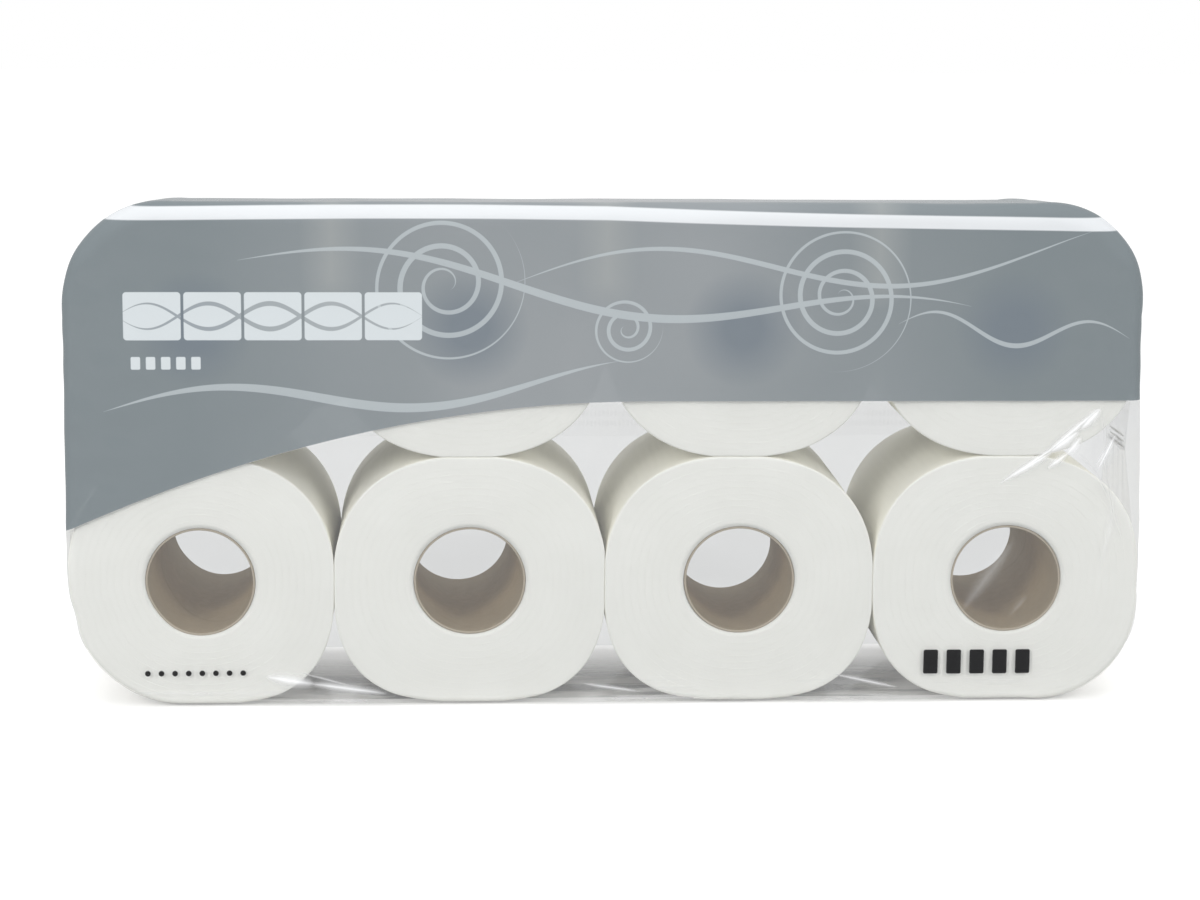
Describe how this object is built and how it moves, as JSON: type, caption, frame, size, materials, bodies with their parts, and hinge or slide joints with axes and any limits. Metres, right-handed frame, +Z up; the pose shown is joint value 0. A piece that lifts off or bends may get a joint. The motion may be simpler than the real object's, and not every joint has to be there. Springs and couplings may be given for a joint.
{
  "type": "toilet paper roll pack",
  "caption": "Block of toilet paper rolls with their ends facing forward, wrapped in one clear plastic film that is folded and welded at both ends",
  "frame": {"origin": "middle of the bottom face, on the surface that the pack stands on", "axes": "+X along the row of rolls, +Y from the front roll ends to the back, +Z up"},
  "size_m": [0.4508, 0.1018, 0.2092],
  "materials": {
    "paper": "matte",
    "cardboard": "matte",
    "film": "gloss"
  },
  "bodies": {
    "root": {"paper_roll_lower_1": "paper", "paper_roll_lower_2": "paper", "paper_roll_lower_3": "paper", "paper_roll_lower_4": "paper", "paper_roll_upper_1": "paper", "paper_roll_upper_2": "paper", "paper_roll_upper_3": "paper", "paper_roll_upper_4": "paper", "core_lower_1": "cardboard", "core_lower_2": "cardboard", "core_lower_3": "cardboard", "core_lower_4": "cardboard", "core_upper_1": "cardboard", "core_upper_2": "cardboard", "core_upper_3": "cardboard", "core_upper_4": "cardboard", "film_wrap": "film"}
  },
  "joints": []
}
